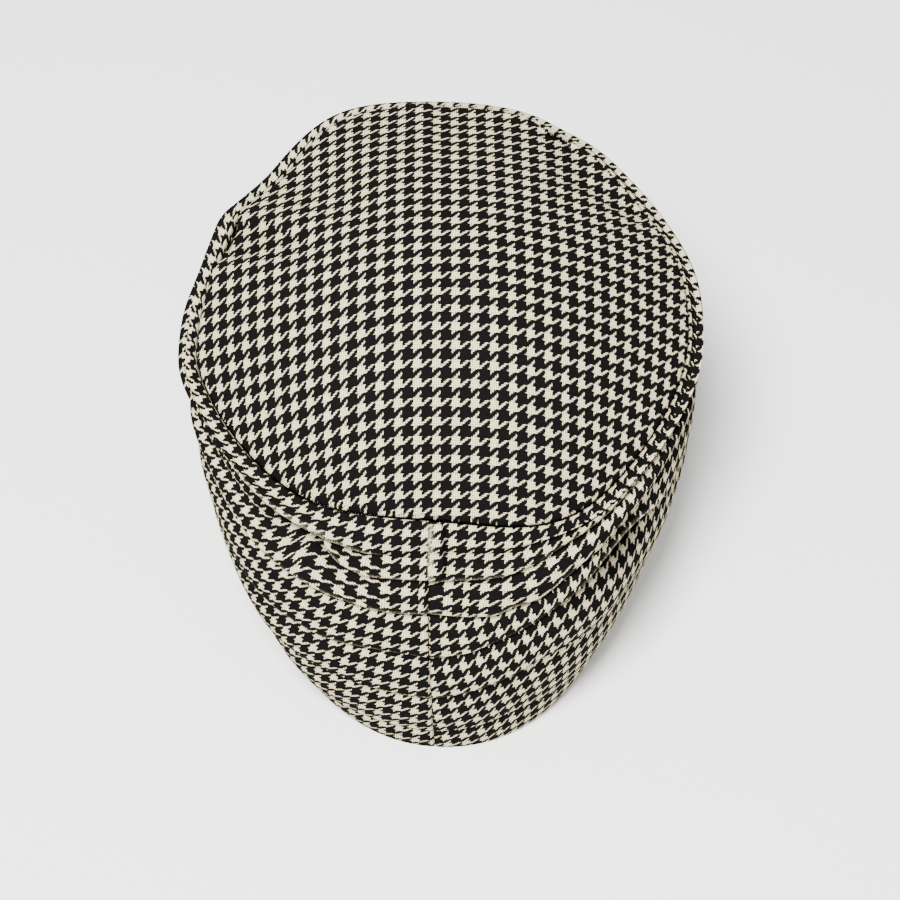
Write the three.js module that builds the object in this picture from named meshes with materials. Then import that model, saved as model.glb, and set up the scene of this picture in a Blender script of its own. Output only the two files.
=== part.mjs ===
// Houndstooth turban-style hat: a domed top panel sewn to a tucked side panel with a turned hem.
// Millimetres, +Z up, +Y towards the wearer's forehead. The rim rests on z = 0.
// The origin is the bottom centre of the hat's bounding box.
import * as THREE from 'three';

// Cloth
const WALL = 1.8;              // thickness of the cloth walls
const HEM_TURN = 1.4;          // extra thickness where the hem is turned up inside
const SEWN_GAP = 0.3;          // gap kept between two sewn edges

// Head opening: the oval rim that rests on the surface
const RIM = { halfWidth: 79, halfLength: 101, squareness: 2.1, centreX: 5.3, centreY: -34.4 };

// Seam between the top panel and the side panel, an oval that rises towards the forehead
const TIP_SEAM = {
  halfWidth: 112.5, halfLength: 109.5, squareness: 2.2, centreX: -0.2, centreY: 19.1,
  backHeight: 135, sideHeight: 145, frontHeight: 165,
};

// Soft places where the seam slumps or is dented. Azimuth 0 is the centre back, 90 the wearer's right.
const SOFT_SPOTS = [
  { name: 'front left dent', azimuth: -127, spread: 24, outward: -8.0, upward: -2.0 },
  { name: 'front right dent', azimuth: 130, spread: 22, outward: -8.0, upward: -4.0 },
  { name: 'back right slump', azimuth: 30, spread: 18, outward: 6.5, upward: -4.5 },
  { name: 'back left slump', azimuth: -30, spread: 18, outward: 2.0, upward: -4.5 },
  { name: 'left slump', azimuth: -75, spread: 22, outward: 2.0, upward: -4.0 },
  { name: 'front slump', azimuth: 180, spread: 25, outward: -2.5, upward: -3.5 },
];

// Dome of the top panel. A fullness above 1 falls evenly to the seam, below 1 it drops near the seam.
const DOME = { topX: -0.2, topY: 0.1, topHeight: 196, backFullness: 0.7, sideFullness: 1.0, frontFullness: 1.35 };

// Side panel: how far it swells out between the rim and the seam, and how far the cloth above its
// top tuck rolls out
const SWELL = { back: 12, side: 18, front: 31 };
const CROWN_ROLL = { back: 0, side: 4, front: 2 };

// Tucks that run round the side panel, from the rim up. Each line gives the tuck's height as a share
// of the side at the centre back and towards the left and right, how far the cloth above overhangs
// the cloth below, and how far the cloth above puffs out.
const TUCKS = [
  { name: 'rim', back: 0.00, left: 0.00, right: 0.00, overhang: 0.0, puff: 0.8 },
  { name: 'hem stitching', back: 0.13, left: 0.15, right: 0.19, overhang: 0.8, puff: 1.2 },
  { name: 'lower tuck', back: 0.34, left: 0.40, right: 0.47, overhang: 2.0, puff: 1.5 },
  { name: 'middle tuck', back: 0.53, left: 0.58, right: 0.66, overhang: 2.0, puff: 1.5 },
  { name: 'upper tuck', back: 0.69, left: 0.77, right: 0.80, overhang: 2.5, puff: 1.5 },
  { name: 'crown tuck', back: 0.80, left: 0.92, right: 0.92, overhang: 2.5, puff: 2.0 },
];
const TUCK_RISE_SPREAD = 28;   // degrees from the centre back over which the tucks rise

// Facets
const AZIMUTH_STEPS = 72;
const POINTS_PER_TIER = 4;
const DOME_RINGS = [0.15, 0.32, 0.5, 0.68, 0.83, 0.94, 1];
const INNER_SHARES = [0.28, 0.42, 0.56, 0.7, 0.82, 0.92];

// Direction in which both sewn edges turn into the hat at the tip seam, as outward and upward parts
const TURN_IN = { outward: -0.55, upward: -0.83 };
const TURN_DEPTH = 2.0;

const radians = THREE.MathUtils.degToRad;

// Outward direction at an azimuth measured from the centre back
function outward(azimuth) {
  return new THREE.Vector3(Math.sin(azimuth), -Math.cos(azimuth), 0);
}

// Value at an azimuth, given at the back, the sides and the front
function aroundHat(azimuth, back, side, front) {
  const c = Math.cos(azimuth);
  return side + ((back - front) / 2) * c + ((back + front) / 2 - side) * c * c;
}

// Point of a rounded oval at an azimuth
function ovalPoint(oval, azimuth) {
  const across = Math.abs(Math.sin(azimuth) / oval.halfWidth) ** oval.squareness;
  const along = Math.abs(Math.cos(azimuth) / oval.halfLength) ** oval.squareness;
  const radius = (across + along) ** (-1 / oval.squareness);
  return outward(azimuth).multiplyScalar(radius).add(new THREE.Vector3(oval.centreX, oval.centreY, 0));
}

function rimPoint(azimuth) {
  return ovalPoint(RIM, azimuth);
}

// Shortest signed angle between two azimuths, in degrees
function azimuthApart(a, b) {
  return THREE.MathUtils.euclideanModulo(a - b + 180, 360) - 180;
}

function seamPoint(azimuth) {
  const point = ovalPoint(TIP_SEAM, azimuth);
  const { backHeight, sideHeight, frontHeight } = TIP_SEAM;
  point.z = aroundHat(azimuth, backHeight, sideHeight, frontHeight);
  const degrees = THREE.MathUtils.radToDeg(azimuth);
  for (const spot of SOFT_SPOTS) {
    const near = Math.exp(-((azimuthApart(degrees, spot.azimuth) / spot.spread) ** 2));
    point.addScaledVector(outward(azimuth), spot.outward * near);
    point.z += spot.upward * near;
  }
  return point;
}

// Height share of a tuck at an azimuth: it leaves the centre back low and rises to either side
function tuckShare(tuck, azimuth) {
  const degrees = azimuthApart(THREE.MathUtils.radToDeg(azimuth), 0);
  const away = 1 - Math.exp(-((degrees / TUCK_RISE_SPREAD) ** 2));
  const rightness = Math.tanh(3 * Math.sin(azimuth));
  const sideShare = (tuck.left + tuck.right) / 2 + (rightness * (tuck.right - tuck.left)) / 2;
  return tuck.back + away * (sideShare - tuck.back);
}

// Untucked side surface: share 0 at the rim, 1 at the seam
function sideBase(azimuth, share) {
  const point = rimPoint(azimuth).lerp(seamPoint(azimuth), share);
  const swell = aroundHat(azimuth, SWELL.back, SWELL.side, SWELL.front);
  return point.addScaledVector(outward(azimuth), swell * Math.sin(Math.PI * share));
}

// Outer points of the side panel from the rim up, tier by tier
function sideOuterPoints(azimuth) {
  const points = [];
  TUCKS.forEach((tuck, index) => {
    const above = TUCKS[index + 1];
    const low = tuckShare(tuck, azimuth);
    const high = above ? tuckShare(above, azimuth) : 1;
    const roll = above ? 0 : aroundHat(azimuth, CROWN_ROLL.back, CROWN_ROLL.side, CROWN_ROLL.front);
    for (let i = 0; i < POINTS_PER_TIER; i += 1) {
      const along = i / (POINTS_PER_TIER - 1);
      const puff = (tuck.puff + roll) * Math.sin(Math.PI * along);
      const lift = tuck.overhang * (1 - along) + puff;
      points.push(sideBase(azimuth, THREE.MathUtils.lerp(low, high, along))
        .addScaledVector(outward(azimuth), lift));
    }
  });
  // The last point is the sewn edge, half a gap away from the seam line
  points[points.length - 1].add(acrossSeam(azimuth).multiplyScalar(SEWN_GAP / 2));
  return points;
}

// Direction across the seam, from the top panel's edge to the side panel's edge
function acrossSeam(azimuth) {
  return outward(azimuth).multiplyScalar(-TURN_IN.upward).setZ(TURN_IN.outward);
}

// Inner edge of a sewn edge that turns into the hat
function turnedIn(point, azimuth) {
  return point.clone()
    .addScaledVector(outward(azimuth), TURN_IN.outward * TURN_DEPTH)
    .add(new THREE.Vector3(0, 0, TURN_IN.upward * TURN_DEPTH));
}

// Inner points of the side panel from the seam down, with the turned hem at the rim
function sideInnerPoints(azimuth, sewnEdge) {
  const inward = (share, depth) => sideBase(azimuth, share).addScaledVector(outward(azimuth), -depth);
  const hemShare = tuckShare(TUCKS[1], azimuth);
  const wallPoints = [...INNER_SHARES].reverse().map((share) => inward(share, WALL));
  return [
    turnedIn(sewnEdge, azimuth),
    ...wallPoints,
    inward(hemShare, WALL),
    inward(hemShare, WALL + HEM_TURN),
    inward(0, WALL + HEM_TURN),
  ];
}

// Closed section of the side panel at an azimuth
function sideSection(azimuth) {
  const outer = sideOuterPoints(azimuth);
  return [...outer, ...sideInnerPoints(azimuth, outer[outer.length - 1])];
}

function meshGeometry(points, triangles) {
  const geometry = new THREE.BufferGeometry();
  geometry.setFromPoints(points);
  geometry.setIndex(triangles);
  geometry.computeVertexNormals();
  return geometry;
}

// The side panel is one strip whose two ends meet at the centre-back seam
function sidePanelGeometry() {
  const sections = [];
  for (let i = 0; i <= AZIMUTH_STEPS; i += 1) {
    sections.push(sideSection((i / AZIMUTH_STEPS) * Math.PI * 2));
  }
  for (const point of sections[0]) point.x += SEWN_GAP / 2;
  for (const point of sections[AZIMUTH_STEPS]) point.x -= SEWN_GAP / 2;

  const count = sections[0].length;
  const triangles = [];
  for (let i = 0; i < AZIMUTH_STEPS; i += 1) {
    for (let j = 0; j < count; j += 1) {
      const a = i * count + j;
      const b = i * count + ((j + 1) % count);
      triangles.push(a, a + count, b, b, a + count, b + count);
    }
  }
  const flat = sections[0].map((point) => new THREE.Vector2(-point.y, point.z));
  const lastStart = AZIMUTH_STEPS * count;
  for (const [a, b, c] of THREE.ShapeUtils.triangulateShape(flat, [])) {
    triangles.push(a, b, c);
    triangles.push(lastStart + a, lastStart + c, lastStart + b);
  }
  return meshGeometry(sections.flat(), triangles);
}

// Outer surface of the dome: ring 0 is its top, ring 1 the sewn edge
function domePoint(azimuth, ring) {
  const edge = seamPoint(azimuth).add(acrossSeam(azimuth).multiplyScalar(-SEWN_GAP / 2));
  const fullness = aroundHat(azimuth, DOME.backFullness, DOME.sideFullness, DOME.frontFullness);
  const fall = fullness * ring ** 2 + (1 - fullness) * ring ** 4;
  return new THREE.Vector3(
    THREE.MathUtils.lerp(DOME.topX, edge.x, ring),
    THREE.MathUtils.lerp(DOME.topY, edge.y, ring),
    THREE.MathUtils.lerp(DOME.topHeight, edge.z, fall),
  );
}

// Inner surface of the dome, one wall below the outer one along its normal
function domeInnerPoint(azimuth, ring) {
  const step = 0.01;
  const here = domePoint(azimuth, ring);
  const alongRing = domePoint(azimuth + step, ring).sub(domePoint(azimuth - step, ring));
  const alongSpoke = here.clone().sub(domePoint(azimuth, ring - step));
  const normal = alongSpoke.cross(alongRing).normalize();
  return here.addScaledVector(normal, -WALL);
}

function crownTipGeometry() {
  const top = domePoint(0, 0);
  const points = [top, top.clone().setZ(top.z - WALL)];
  const rows = DOME_RINGS.map((ring) => ({ ring, inner: false }));
  rows.push(...[...DOME_RINGS].reverse().map((ring) => ({ ring, inner: true })));
  for (const { ring, inner } of rows) {
    for (let i = 0; i < AZIMUTH_STEPS; i += 1) {
      const azimuth = (i / AZIMUTH_STEPS) * Math.PI * 2;
      if (!inner) points.push(domePoint(azimuth, ring));
      else if (ring === 1) points.push(turnedIn(domePoint(azimuth, ring), azimuth));
      else points.push(domeInnerPoint(azimuth, ring));
    }
  }
  const at = (row, i) => 2 + row * AZIMUTH_STEPS + (i % AZIMUTH_STEPS);
  const triangles = [];
  for (let i = 0; i < AZIMUTH_STEPS; i += 1) {
    triangles.push(0, at(0, i), at(0, i + 1));
    triangles.push(1, at(rows.length - 1, i + 1), at(rows.length - 1, i));
    for (let row = 0; row < rows.length - 1; row += 1) {
      triangles.push(at(row, i), at(row + 1, i), at(row, i + 1));
      triangles.push(at(row, i + 1), at(row + 1, i), at(row + 1, i + 1));
    }
  }
  return meshGeometry(points, triangles);
}

function clothPiece(name, geometry, colour) {
  const material = new THREE.MeshStandardMaterial({ color: colour, roughness: 0.95, metalness: 0 });
  const mesh = new THREE.Mesh(geometry, material);
  mesh.name = name;
  return mesh;
}

const hat = new THREE.Group();
hat.add(clothPiece('crown_tip', crownTipGeometry(), 0x8d8a82));
hat.add(clothPiece('side_panel', sidePanelGeometry(), 0x87847c));

export default hat;
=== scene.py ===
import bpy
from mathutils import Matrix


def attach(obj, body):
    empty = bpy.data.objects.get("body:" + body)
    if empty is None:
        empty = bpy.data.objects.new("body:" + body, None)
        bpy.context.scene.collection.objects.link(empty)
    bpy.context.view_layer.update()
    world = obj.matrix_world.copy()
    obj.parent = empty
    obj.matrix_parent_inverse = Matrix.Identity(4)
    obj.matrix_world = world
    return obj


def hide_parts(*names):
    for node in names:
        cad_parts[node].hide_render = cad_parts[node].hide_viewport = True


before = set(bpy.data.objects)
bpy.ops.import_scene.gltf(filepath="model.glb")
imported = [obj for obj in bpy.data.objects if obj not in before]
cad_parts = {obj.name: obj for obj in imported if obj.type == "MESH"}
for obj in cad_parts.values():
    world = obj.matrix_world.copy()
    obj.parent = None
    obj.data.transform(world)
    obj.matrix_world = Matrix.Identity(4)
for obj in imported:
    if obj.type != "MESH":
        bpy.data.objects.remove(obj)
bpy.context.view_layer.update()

import math

import bmesh
import bpy
import numpy as np
from bpy.props import FloatProperty, FloatVectorProperty, PointerProperty
from mathutils import Vector

bl_info = {
    "name": "Sewn Turban Hat",
    "version": (1, 0, 0),
    "blender": (4, 5, 0),
    "location": "3D View > Sidebar > Turban",
    "description": "Makes a sewn houndstooth turban hat: a domed crown tip on a tucked side panel",
    "category": "Object",
}

MM = 0.001

# The hat's form in millimetres, the same named values as its solids have.
# Azimuth runs from the centre back (0) over the wearer's right (90) to the front (180).
WALL = 1.8
SEWN_GAP = 0.3
RIM = {"half_width": 79.0, "half_length": 101.0, "squareness": 2.1, "centre": (5.3, -34.4)}
TIP_SEAM = {"half_width": 112.5, "half_length": 109.5, "squareness": 2.2, "centre": (-0.2, 19.1)}
SEAM_HEIGHT = {"back": 135.0, "side": 145.0, "front": 165.0}
SWELL = {"back": 12.0, "side": 18.0, "front": 31.0}
DOME_TOP = (-0.2, 0.1, 196.0)
DOME_FULLNESS = {"back": 0.7, "side": 1.0, "front": 1.35}
# Directions at the tip seam, outward and upward: across it towards the side, and turned in from it.
ACROSS_SEAM = (0.83, -0.55)
TURNED_IN = (-0.55, -0.83)
# Small unevenness of the worn cloth: height, how busy it is, and the seed it is drawn from.
SIDE_UNEVEN = (0.55, 1.6, 7)
TIP_UNEVEN = (0.7, 0.55, 3)

# Places where the soft crown sinks or bulges: azimuth, spread in degrees, outward, upward.
SOFT_SPOTS = (
    ("front left dent", -127.0, 24.0, -8.0, -2.0),
    ("front right dent", 130.0, 22.0, -8.0, -4.0),
    ("back right slump", 30.0, 18.0, 6.5, -4.5),
    ("back left slump", -30.0, 18.0, 2.0, -4.5),
    ("left slump", -75.0, 22.0, 2.0, -4.0),
    ("front slump", 180.0, 25.0, -2.5, -3.5),
    ("right shoulder", 82.0, 14.0, 1.2, 0.0),
    ("front right notch", 154.0, 8.0, -3.0, 0.0),
    ("front left shoulder", -150.0, 9.0, 2.5, 0.0),
    ("front left dip", -128.0, 9.0, -3.0, 0.0),
    ("corner at the pinch", -114.0, 4.0, 1.5, 0.0),
    ("left dip", -99.0, 10.0, -2.5, 0.0),
    ("left shoulder", -73.0, 7.0, 1.5, 0.0),
)

# Broad swellings of the worn side beyond its plain form: azimuth, spread, outward.
SIDE_SWELLS = (
    ("right side drawn in", 75.0, 42.0, -4.0),
    ("back left bulge", -33.0, 16.0, 5.0),
    ("left side drawn in", -85.0, 16.0, -3.5),
)

# Hollows and swellings of the side: azimuth, share of the height, their spreads, and depth.
SIDE_HOLLOWS = (
    ("valley below the right fold", 47.0, 0.79, 13.0, 0.07, -8.0),
    ("bulge below that valley", 40.0, 0.60, 14.0, 0.09, 2.8),
    ("pocket beside the left fold", -26.0, 0.885, 6.5, 0.032, -4.4),
    ("soft hollow at the left", -60.0, 0.70, 16.0, 0.10, -1.6),
    ("hollow at the front left", -135.0, 0.55, 20.0, 0.14, -2.0),
    ("hollow at the front right", 140.0, 0.58, 18.0, 0.12, -2.0),
)

# Creases of the crown tip: azimuth and ring of both ends, depth, and the widths on either side.
TIP_CREASES = (
    ("front left pinch", -109.0, 1.04, -101.0, 0.52, 8.5, 3.5, 11.0),
    ("cloth pushed up behind it", -96.0, 1.0, -92.0, 0.60, -2.2, 6.0, 9.0),
    ("front right notch", 154.0, 1.03, 134.0, 0.78, 5.0, 5.0, 7.0),
    ("front right soft fold", 122.0, 0.93, 147.0, 0.80, 3.2, 6.0, 7.0),
    ("front ridge", -170.0, 0.98, -165.0, 0.40, -3.0, 7.0, 8.0),
)

# Each tuck runs round the side. A row gives azimuth, share of the height, and how far it is folded.
HEM_LINE = (
    (0, 0.13, 1), (12, 0.155, 1), (22, 0.19, 1), (60, 0.19, 1), (120, 0.19, 1),
    (180, 0.17, 1), (240, 0.15, 1), (320, 0.15, 1), (345, 0.14, 1),
)
LOWER_TUCK = (
    (0, 0.345, 0.8), (8, 0.375, 0.9), (18, 0.43, 1), (26, 0.485, 1), (36, 0.50, 0.9), (60, 0.48, 0.8),
    (120, 0.46, 0.8), (180, 0.43, 0.8), (240, 0.40, 0.8), (325, 0.41, 1.2), (336, 0.40, 1.2),
    (345, 0.365, 1), (356, 0.345, 0.8),
)
MIDDLE_TUCK = (
    (0, 0.53, 0.8), (8, 0.555, 0.9), (14, 0.60, 1), (22, 0.655, 1), (28, 0.70, 1.2), (40, 0.735, 1.6),
    (52, 0.735, 1.7), (64, 0.71, 1.2), (90, 0.675, 0.8), (180, 0.62, 0.8), (270, 0.58, 0.8),
    (310, 0.575, 1.2), (322, 0.58, 1.3), (330, 0.58, 1.3), (336, 0.56, 1.1), (348, 0.545, 0.9),
)
UPPER_TUCK = (
    (0, 0.70, 1), (8, 0.70, 1), (14, 0.705, 1), (18, 0.73, 1), (24, 0.75, 1.1), (30, 0.80, 1.4),
    (38, 0.84, 1.7), (48, 0.875, 1.7), (70, 0.87, 1.2), (90, 0.84, 1), (180, 0.785, 0.8),
    (270, 0.77, 0.9), (322, 0.77, 1.4), (330, 0.76, 1.4), (336, 0.74, 1.3), (342, 0.72, 1.1),
    (354, 0.695, 1),
)
CROWN_TUCK = (
    (0, 0.815, 1), (8, 0.825, 1), (16, 0.84, 1), (24, 0.885, 1), (30, 0.925, 1), (38, 0.94, 1),
    (50, 0.945, 1), (90, 0.93, 1), (150, 0.90, 0.8), (180, 0.87, 0), (270, 0.85, 0),
    (322, 0.87, 0), (327, 0.90, 0), (331, 0.90, 0.4), (335, 0.88, 0.9), (338, 0.855, 1), (342, 0.832, 1),
    (348, 0.815, 1),
)
OUTER_LEFT_TUCK = (
    (0, 0.90, 0), (8, 0.90, 0), (16, 0.91, 0), (24, 0.945, 0), (30, 0.962, 0), (38, 0.97, 0),
    (60, 0.975, 0), (90, 0.97, 0), (150, 0.95, 0), (185, 0.94, 0.8), (240, 0.94, 1),
    (282, 0.957, 1.2), (300, 0.952, 1.5), (322, 0.94, 1.8), (334, 0.93, 1.8), (340, 0.91, 1.5),
    (346, 0.89, 0.9), (352, 0.885, 0),
)

# Each tuck's overhang, depth of its hidden fold, puff of the cloth above it, and how worn its edge is,
# which also sets the strength of the painted highlight on that edge.
TUCKS = (
    ("hem stitching", HEM_LINE, 0.9, 0.6, 1.4, 0.3),
    ("lower tuck", LOWER_TUCK, 2.2, 3.5, 1.8, 0.3),
    ("middle tuck", MIDDLE_TUCK, 2.3, 3.5, 1.8, 0.3),
    ("upper tuck", UPPER_TUCK, 2.8, 4.5, 1.8, 0.4),
    ("crown tuck", CROWN_TUCK, 2.7, 4.5, 1.6, 0.45),
    ("outer left tuck", OUTER_LEFT_TUCK, 2.9, 4.0, 1.6, 0.75),
)

# Rows of cloth in each tier between two tucks, from the hem up.
TIER_POINTS = (7, 11, 10, 10, 8, 7, 6)

# A tuck begins this far below its line; the hem's outer edge rounds over in rows of rise and lift.
BELOW_TUCK = 2.8
HEM_EDGE = ((0.0, -1.0), (0.3, -0.35), (1.1, 0.0))
# Extra puff of the cloth that rolls into the tip seam.
TOP_ROLL = {"back": 0.0, "side": 4.5, "front": 3.0}

# Rows of a tuck counted from below: first in its hidden fold, where the next band starts, last hidden.
FOLD_FIRST, BAND_START, FOLD_LAST = 4, 8, 9
# As many tucks, from the hem up, start a new band of the pattern.
BANDED_TUCKS = 4

# Deep shadow on the cloth just under a tuck: azimuth, spread, reach as a share of the height, darkness.
FOLD_SHADOWS = (
    ("middle tuck", 46.0, 15.0, 0.075, 0.92),
    ("outer left tuck", -30.0, 10.0, 0.050, 0.90),
    ("crown tuck", -27.0, 6.0, 0.030, 0.70),
)

# The flap of the centre-back seam: its edges in degrees to the right, each with a softness, and height.
FLAP_LEFT, FLAP_RIGHT, FLAP_HEIGHT = (0.15, 0.10), (3.3, 0.22), 2.2
# Lines along that seam: degrees to the right of it, width, and their depth in millimetres or strength.
BESIDE_FLAP, SEAM_GROOVE = (3.75, 0.4, 1.0), (0.0, 0.32, 0.75)
# The flap's left edge is worn pale and painted with a highlight; its right edge gets a painted shadow.
FLAP_RUBBED_AND_HIGHLIT, FLAP_SHADOW = (0.5, 0.45, 0.7), (3.9, 0.5, 0.4)

# Rows of the inner face above the hem, as shares of the height; then those of the turned-up hem:
# hem heights, share of the side added to them, and depth below the outer face.
INNER_ROWS = (0.975, 0.94, 0.88, 0.82, 0.76, 0.70, 0.63, 0.56, 0.49, 0.42, 0.35, 0.28)
HEM_ROWS = (
    (1, 0.035, 1.8), (1, 0.006, 1.9), (1, 0.0, 3.0), (1, -0.02, 3.2),
    (0.5, 0.0, 3.2), (0, 0.012, 3.2), (0, 0.003, 2.8), (0, 0.0, 2.1),
)
# Where both cloths end inside the tip seam: beside it, and turned in.
SEAM_END = (1.5, 2.6)
# Painted shade on the inner faces of both pieces.
INSIDE_SHADE = 0.9

# Cloth eased into the side: a factor up it everywhere, and an added share along it away from the back.
EASED_IN = (1.12, 0.10)
# Degrees from the back over which the easing begins; share of its cloth that a hidden fold shows.
EASE_STARTS, EASE_OVER, HIDDEN_CLOTH = 8.0, 27.0, 0.2
# The pattern's step from one band to the next, its drift on the way round, and the lengths of cloth
# at the hem's edge and where two bands meet.
BAND_STEP, BACK_DRIFT, HEM_EDGE_CLOTH, BAND_EDGE_CLOTH = 2.3, 1.7, 1.2, 0.3
# Its lean along the tucks: columns smoothed on either side, and its limit.
LEAN_COLUMNS, LEAN_LIMIT = 6, 0.6
# Left of this the tip's cloth is drawn off its grain: across and along, for each millimetre squared.
OFF_GRAIN_FROM, OFF_GRAIN = 45.0, (0.0016, -0.0033)

# The cloth's edge at the tip seam: how far beside the seam, how far turned in, and its painted shade, darker
# deeper in the seam.
SEAM_ROLL = ((1.25, 0.35, 1.0), (0.55, 0.95, 0.65), (0.3, 2.4, 0.3))
# Columns of the side beside the centre-back seam, in degrees from it.
SEAM_TURNS = (0.0, 0.22, 0.5, 0.85, 1.3, 1.8, 2.4, 3.0, 3.6, 4.4, 5.2, 6.0)

# The studio: each light's place, size and share of the key power; what the camera looks at.
LIGHTS = (
    ("Key light", (-0.25, -0.60, 1.65), 0.6, 1.0),
    ("Front light", (0.2, 1.1, 1.5), 1.2, 0.01),
)
LIT_PLACE = (0, 0, 0.1)
FLOOR_REACH = 12.0
CAMERA_TARGET = (0.0027, -0.0257, 0.085)
LENS_SHIFT = (0.0060, 0.0086)


def outward(azimuth):
    a = np.radians(azimuth)
    return np.stack([np.sin(a), -np.cos(a), np.zeros_like(a)], -1)


def around_hat(azimuth, back, side, front):
    c = np.cos(np.radians(azimuth))
    return side + (back - front) / 2 * c + ((back + front) / 2 - side) * c * c


def bell(away, width):
    """One in the middle, falling softly to nothing on either side."""
    return np.exp(-((away / width) ** 2))


def unit(vectors):
    return vectors / np.linalg.norm(vectors, axis=-1)[..., None]


def nearness(azimuth, middle, spread):
    return bell((azimuth - middle + 180.0) % 360.0 - 180.0, spread)


def oval_point(oval, azimuth):
    a = np.radians(azimuth)
    n = oval["squareness"]
    side = np.abs(np.sin(a)) / oval["half_width"]
    end = np.abs(np.cos(a)) / oval["half_length"]
    radius = (side ** n + end ** n) ** (-1 / n)
    return np.array([*oval["centre"], 0.0]) + radius[..., None] * outward(azimuth)


def seam_point(azimuth):
    point = oval_point(TIP_SEAM, azimuth)
    point[..., 2] = around_hat(azimuth, **SEAM_HEIGHT)
    for _, middle, spread, out, up in SOFT_SPOTS:
        near = nearness(azimuth, middle, spread)
        point = point + outward(azimuth) * (out * near)[..., None]
        point[..., 2] += up * near
    return point


def seam_offset(azimuth, across, inside):
    """A point beside the tip seam: across it towards the side panel, and turned in from it."""
    out = outward(azimuth)
    away = across * ACROSS_SEAM[0] + inside * TURNED_IN[0]
    up = across * ACROSS_SEAM[1] + inside * TURNED_IN[1]
    point = seam_point(azimuth) + out * away
    point[..., 2] += up
    return point


def soft_noise(azimuth, level, height, busy, seed):
    """Smooth variation round the hat, mostly within the height either way, with a period of one turn."""
    total = np.zeros(np.broadcast(azimuth, level).shape)
    maker = np.random.default_rng(seed)
    for _ in range(9):
        turns = maker.integers(1, 2 + int(9 * busy))
        rise = maker.uniform(-6.0, 6.0) * busy
        phase = maker.uniform(0, 2 * math.pi)
        total = total + np.sin(np.radians(azimuth) * turns + level * rise + phase)
    return height * total / 4.0


def along_table(table, azimuth, column):
    """A table's column at an azimuth, on a smooth curve through its rows that never overshoots."""
    closed = np.array([*table, (360, *table[0][1:])], float)
    turns, values = closed[:, 0], closed[:, column]
    steps = np.diff(turns)
    slopes = np.diff(values) / steps
    before, after = slopes[:-1], slopes[1:]
    same = before * after > 0
    middle = np.where(same, 2 * before * after / np.where(same, before + after, 1.0), 0.0)
    ends = np.concatenate([[slopes[0]], middle, [slopes[-1]]])
    a = np.asarray(azimuth) % 360.0
    k = np.clip(np.searchsorted(turns, a, side="right") - 1, 0, len(steps) - 1)
    t = (a - turns[k]) / steps[k]
    h00, h10 = 2 * t ** 3 - 3 * t ** 2 + 1, t ** 3 - 2 * t ** 2 + t
    h01, h11 = -2 * t ** 3 + 3 * t ** 2, t ** 3 - t ** 2
    return h00 * values[k] + h10 * steps[k] * ends[k] + h01 * values[k + 1] + h11 * steps[k] * ends[k + 1]


def side_base(azimuth, share):
    """The smooth side without its tucks, from the rim (share 0) to the tip seam (share 1)."""
    rim = oval_point(RIM, azimuth)
    seam = seam_offset(azimuth, SEWN_GAP / 2, 0.0)
    flat = np.asarray(share, float)
    point = rim + (seam - rim) * flat[..., None]
    swell = around_hat(azimuth, **SWELL)
    for _, middle, spread, out in SIDE_SWELLS:
        swell = swell + out * nearness(azimuth, middle, spread)
    lift = swell * np.sin(math.pi * flat)
    for _, middle, level, spread, rise, depth in SIDE_HOLLOWS:
        lift = lift + depth * nearness(azimuth, middle, spread) * bell(flat - level, rise)
    calm = np.clip(np.minimum(flat / 0.15, (1 - flat) / 0.08), 0, 1)
    lift = lift + calm * soft_noise(azimuth, flat, *SIDE_UNEVEN)
    return point + outward(azimuth) * lift[..., None]


def side_frame(azimuth, share):
    """Place, millimetres in one share of the height, and outward normal of the smooth side."""
    step, turn = 0.003, 0.2
    place = side_base(azimuth, share)
    low = np.clip(share - step, 0, 1)
    high = np.clip(share + step, 0, 1)
    rise = side_base(azimuth, high) - side_base(azimuth, low)
    per_share = np.linalg.norm(rise, axis=-1) / (high - low)
    around = side_base(azimuth + turn, share) - side_base(azimuth - turn, share)
    return place, per_share, unit(np.cross(around, rise))


def side_azimuths():
    """Columns of the side panel from the centre-back seam round to it again, closer at the seam."""
    near = np.array(SEAM_TURNS)
    return np.concatenate([near, np.arange(7.0, 353.5), 360.0 - near[::-1]])


def step_up(value, place, softness):
    """A smooth step from 0 to 1."""
    return 0.5 + 0.5 * np.tanh((value - place) / softness / 2)


def from_back(azimuth):
    """Degrees from the centre-back seam, counted towards the wearer's right."""
    return np.where(azimuth > 180, azimuth - 360, azimuth)


def in_top_tier(share, crown_share):
    """One above the crown tuck and nothing below it."""
    return step_up(share, crown_share + 0.004, 0.003)


def along_seam(azimuth, place, width, strength):
    """A line beside the centre-back seam, falling softly on either side."""
    return strength * bell(from_back(azimuth) - place, width)


def seam_relief(azimuth, share, crown_share):
    """Height of the centre-back seam: a flap pressed to the right in the top tier, a groove below it."""
    turn = from_back(azimuth)
    top = in_top_tier(share, crown_share)
    flap = FLAP_HEIGHT * (step_up(turn, *FLAP_LEFT) - step_up(turn, *FLAP_RIGHT))
    flap = flap - along_seam(azimuth, *BESIDE_FLAP)
    return top * flap - (1 - top) * along_seam(azimuth, *SEAM_GROOVE)


def flap_wear_and_painted_light(azimuth, share, crown_share):
    """The flap's left edge, worn pale and painted with a highlight, and the painted shadow at its right edge.
    """
    top = in_top_tier(share, crown_share)
    return top * along_seam(azimuth, *FLAP_RUBBED_AND_HIGHLIT), top * along_seam(azimuth, *FLAP_SHADOW)


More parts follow.
